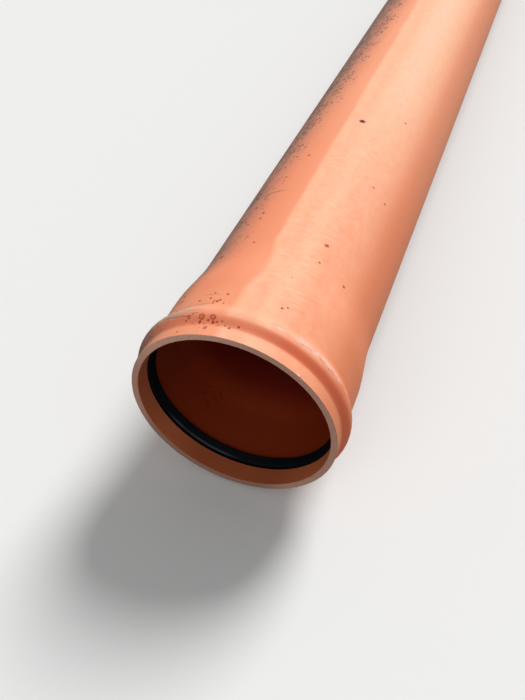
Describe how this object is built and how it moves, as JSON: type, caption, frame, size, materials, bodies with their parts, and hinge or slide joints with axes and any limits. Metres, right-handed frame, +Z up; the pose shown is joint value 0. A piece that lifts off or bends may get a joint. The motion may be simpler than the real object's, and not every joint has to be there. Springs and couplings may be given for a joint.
{
  "type": "pvc sewer pipe",
  "caption": "Straight orange-brown plastic sewer pipe with a belled push-fit socket, a beaded groove that seats a black rubber lip ring, and a chamfered plain spigot end.",
  "frame": {"origin": "centre of the socket's mouth, on the pipe's axis", "axes": "+Y runs along the pipe's axis from the socket's mouth to the spigot's end, +Z is up, +X is to the right seen from the mouth"},
  "size_m": [0.4514, 3.182, 0.4514],
  "materials": {
    "orange_pvc": "orange-brown extruded PVC, sun-faded along the top, dusty and lightly scuffed",
    "black_rubber": "black moulded rubber, smooth, dusty"
  },
  "bodies": {
    "root": {"pipe": "orange_pvc", "sealing_ring": "black_rubber"}
  },
  "joints": []
}
